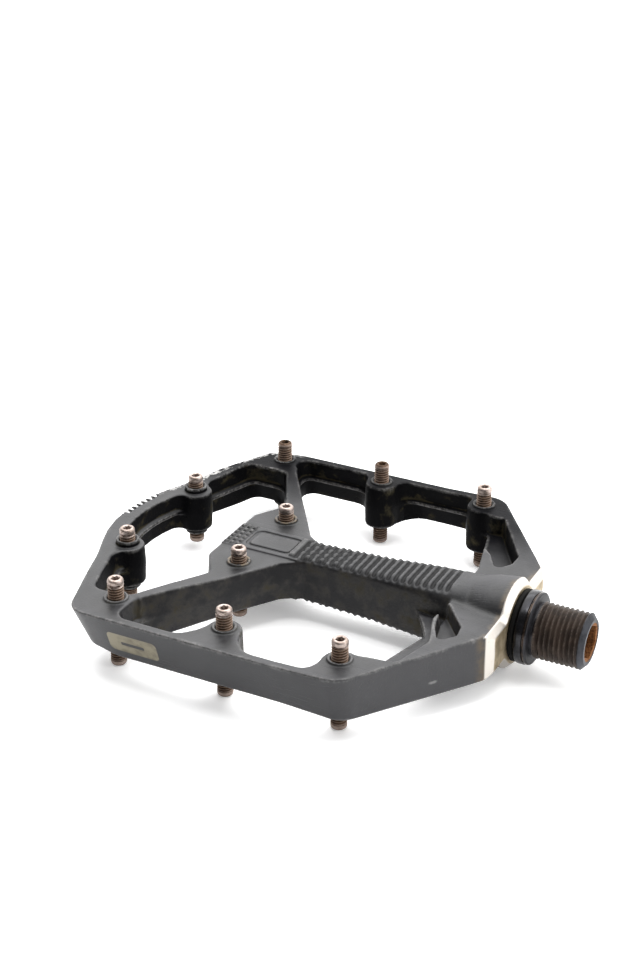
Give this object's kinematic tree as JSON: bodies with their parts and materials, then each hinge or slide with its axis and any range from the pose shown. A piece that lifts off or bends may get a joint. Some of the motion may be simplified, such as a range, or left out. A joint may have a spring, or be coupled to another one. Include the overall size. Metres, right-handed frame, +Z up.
{
  "type": "flat pedal",
  "caption": "Large thin flat bicycle pedal: a black alloy frame with grub-screw pins on both sides, turning on a steel spindle with a bush and a ball bearing.",
  "frame": {"origin": "middle of the whole pedal's box, which lies on the spindle's axis", "axes": "+X along the spindle towards the crank, +Y across the platform, +Z up out of the platform's top face"},
  "size_m": [0.1304, 0.1076, 0.024],
  "materials": {
    "body": "satin black anodised, worn to bare metal on edges",
    "pins": "browned steel with bright worn tips",
    "spindle": "dark oiled steel, glossy black collar",
    "seal": "matte",
    "bushing": "matte bearing polymer",
    "bearing": "ground and polished",
    "cage": "moulded",
    "cap": "satin black anodised"
  },
  "bodies": {
    "spindle_group": {"spindle": "spindle", "bearing_inner_race": "bearing", "lock_washer": "bearing", "lock_nut": "bearing"},
    "pedal_group": {"pedal_body": "body", "inner_seal": "seal", "inner_bushing": "bushing", "bearing_outer_race": "bearing", "end_cap": "cap", "end_cap_o_ring": "seal", "pin_top_end_left": "pins", "pin_bottom_end_left": "pins", "pin_top_end_right": "pins", "pin_bottom_end_right": "pins", "pin_top_corner_left": "pins", "pin_bottom_corner_left": "pins", "pin_top_corner_right": "pins", "pin_bottom_corner_right": "pins", "pin_top_side_left": "pins", "pin_bottom_side_left": "pins", "pin_top_side_right": "pins", "pin_bottom_side_right": "pins", "pin_top_inner_left": "pins", "pin_bottom_inner_left": "pins", "pin_top_inner_right": "pins", "pin_bottom_inner_right": "pins", "pin_top_centre_left": "pins", "pin_bottom_centre_left": "pins", "pin_top_centre_right": "pins", "pin_bottom_centre_right": "pins"},
    "ball_ring": {"bearing_cage": "cage", "bearing_ball_1": "bearing", "bearing_ball_2": "bearing", "bearing_ball_3": "bearing", "bearing_ball_4": "bearing", "bearing_ball_5": "bearing", "bearing_ball_6": "bearing", "bearing_ball_7": "bearing"}
  },
  "joints": [
    {"name": "pedal_spin", "type": "hinge", "parent": "spindle_group", "child": "pedal_group", "pos_m": [0, 0, 0], "axis": [1, 0, 0], "continuous": true},
    {"name": "ball_orbit", "type": "hinge", "parent": "spindle_group", "child": "ball_ring", "pos_m": [0, 0, 0], "axis": [1, 0, 0], "continuous": true}
  ],
  "couplings": [
    {"joint": "ball_orbit", "follows": "pedal_spin", "ratio": 0.5857}
  ]
}
